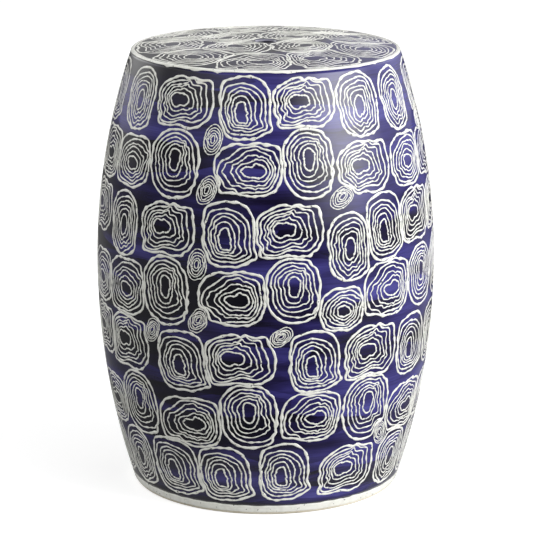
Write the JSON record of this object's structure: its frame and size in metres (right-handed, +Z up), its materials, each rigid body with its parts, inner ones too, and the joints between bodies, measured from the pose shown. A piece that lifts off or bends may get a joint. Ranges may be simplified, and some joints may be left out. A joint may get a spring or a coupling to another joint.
{
  "type": "garden stool",
  "caption": "Hollow barrel-shaped ceramic stool with a domed seat, a small vent in the seat, a turned foot and an open base.",
  "frame": {"origin": "on the floor, at the stool's own axis", "axes": "+Z up along the axis that the stool is turned about; X and Y are alike, and +Y points away from the picture's camera"},
  "size_m": [0.3459, 0.346, 0.4569],
  "materials": {
    "foot_clay": "unglazed stoneware, sponged smooth",
    "wall_clay": "unglazed stoneware inside",
    "coil_clay": "unglazed stoneware, finger smoothed",
    "pale_glaze": "glossy ivory glaze with a few pinholes",
    "blue_glaze": "glossy clear glaze over brushed cobalt, with raised ivory line rings"
  },
  "bodies": {
    "root": {"foot_ring": "foot_clay", "lower_wall": "wall_clay", "upper_wall": "wall_clay", "seat_slab": "wall_clay", "foot_coil": "coil_clay", "belly_coil": "coil_clay", "seat_coil": "coil_clay", "foot_glaze": "pale_glaze", "barrel_glaze": "blue_glaze", "rim_glaze": "pale_glaze", "seat_glaze": "blue_glaze"}
  },
  "joints": []
}
